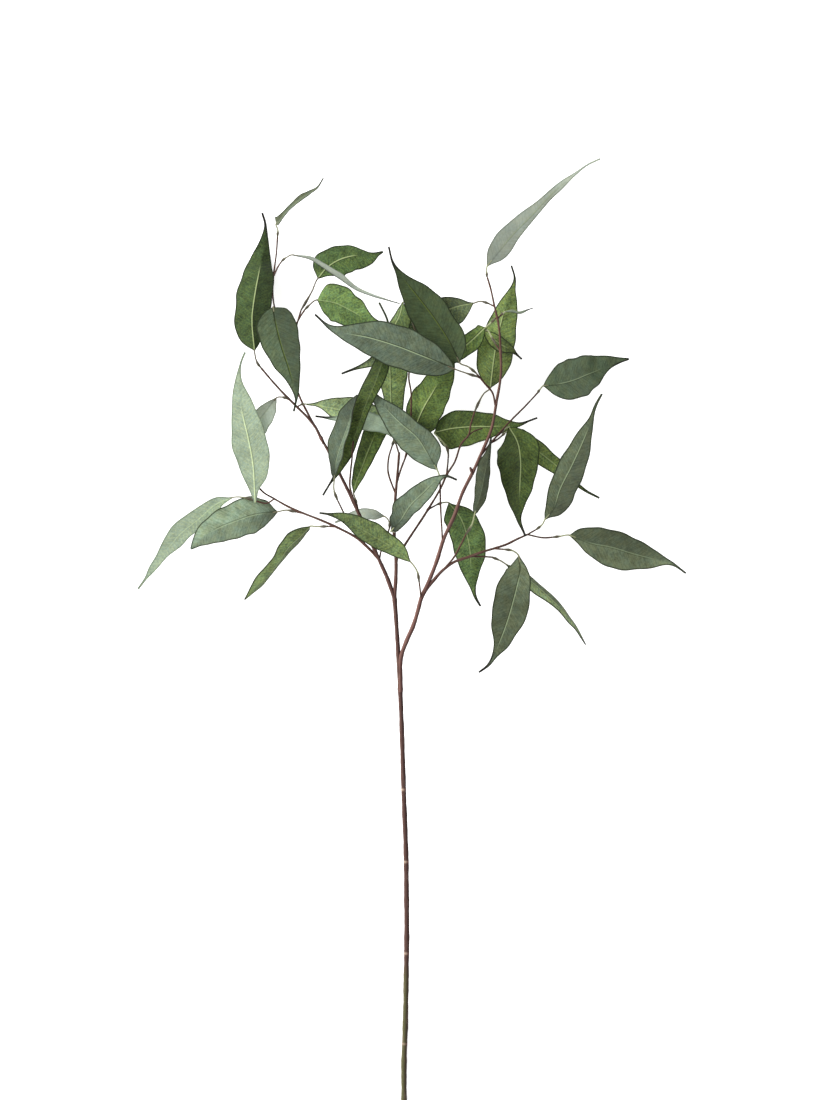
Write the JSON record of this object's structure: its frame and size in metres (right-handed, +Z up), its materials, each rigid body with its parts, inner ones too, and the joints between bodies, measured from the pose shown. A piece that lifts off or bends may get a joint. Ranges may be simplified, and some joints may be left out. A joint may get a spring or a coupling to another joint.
{
  "type": "eucalyptus branch",
  "caption": "Slender forked eucalyptus stem with long lance-shaped leaves hanging on thin stalks, lying flat on a surface.",
  "frame": {"origin": "middle of the box round the branch, at the level of the surface it lies on", "axes": "+Y along the stem from its cut end to the leafy end, +Z up from the surface, +X to the right seen from above with the cut end nearest"},
  "size_m": [0.5496, 0.991, 0.1241],
  "materials": {
    "bark": "matte red-brown bark, greyer on one side, olive towards the cut end",
    "leaf_grey_green": "matte grey-green leaf, paler rib below",
    "leaf_dark_green": "satin dark green leaf with a fine net of veins",
    "leaf_bright_green": "satin yellow-green leaf with a raised pale rib",
    "leaf_pale_green": "matte silvery green leaf"
  },
  "bodies": {
    "root": {"wood": "bark", "leaf_01": "leaf_bright_green", "leaf_02": "leaf_grey_green", "leaf_03": "leaf_pale_green", "leaf_04": "leaf_bright_green", "leaf_05": "leaf_bright_green", "leaf_06": "leaf_grey_green", "leaf_07": "leaf_pale_green", "leaf_08": "leaf_grey_green", "leaf_09": "leaf_grey_green", "leaf_10": "leaf_pale_green", "leaf_11": "leaf_grey_green", "leaf_12": "leaf_bright_green", "leaf_13": "leaf_bright_green", "leaf_14": "leaf_pale_green", "leaf_15": "leaf_grey_green", "leaf_16": "leaf_dark_green", "leaf_17": "leaf_bright_green", "leaf_18": "leaf_grey_green", "leaf_19": "leaf_pale_green", "leaf_20": "leaf_dark_green", "leaf_21": "leaf_bright_green", "leaf_22": "leaf_bright_green", "leaf_23": "leaf_dark_green", "leaf_24": "leaf_dark_green", "leaf_25": "leaf_dark_green", "leaf_26": "leaf_bright_green", "leaf_28": "leaf_bright_green", "leaf_29": "leaf_bright_green", "leaf_30": "leaf_dark_green", "leaf_31": "leaf_pale_green", "leaf_32": "leaf_pale_green", "leaf_33": "leaf_grey_green", "leaf_34": "leaf_grey_green", "leaf_35": "leaf_grey_green", "leaf_36": "leaf_grey_green", "leaf_37": "leaf_dark_green", "leaf_38": "leaf_bright_green", "leaf_39": "leaf_grey_green", "leaf_40": "leaf_dark_green", "leaf_41": "leaf_bright_green", "leaf_42": "leaf_grey_green"}
  },
  "joints": []
}
